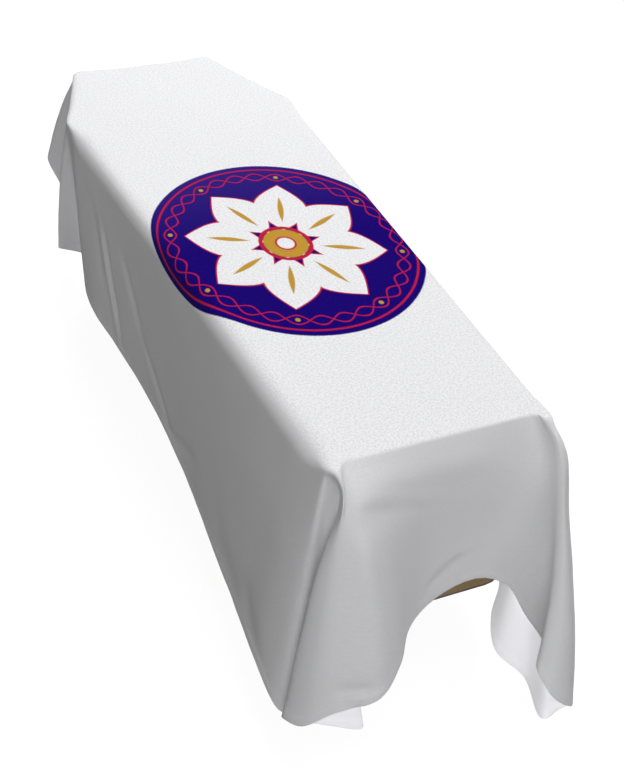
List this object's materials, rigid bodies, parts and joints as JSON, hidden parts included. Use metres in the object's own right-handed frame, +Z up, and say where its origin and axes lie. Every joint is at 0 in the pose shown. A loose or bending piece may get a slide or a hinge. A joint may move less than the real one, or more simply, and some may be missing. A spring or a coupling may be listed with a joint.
{
  "type": "cloth coffin drape over a coffin on rests",
  "caption": "White cloth drape spread over a closed six-sided coffin on low rests, its long sides hanging plain and its corners falling in loose folds.",
  "frame": {"origin": "on the floor, under the middle of the part's bounding box", "axes": "+Z up; the coffin's foot points to -Y and its head to +Y, the long way of the part"},
  "size_m": [0.7469, 2.3939, 0.722],
  "materials": {
    "cloth": "soft white knit with a faint sheen",
    "coffin_wood": "satin varnish",
    "rest_wood": "dull oil"
  },
  "bodies": {
    "root": {"drape": "cloth", "coffin_lid": "coffin_wood", "coffin_body": "coffin_wood", "foot_rest_rail": "rest_wood", "foot_rest_leg_left": "rest_wood", "foot_rest_leg_right": "rest_wood", "foot_rest_stretcher": "rest_wood", "head_rest_rail": "rest_wood", "head_rest_leg_left": "rest_wood", "head_rest_leg_right": "rest_wood", "head_rest_stretcher": "rest_wood"}
  },
  "joints": []
}
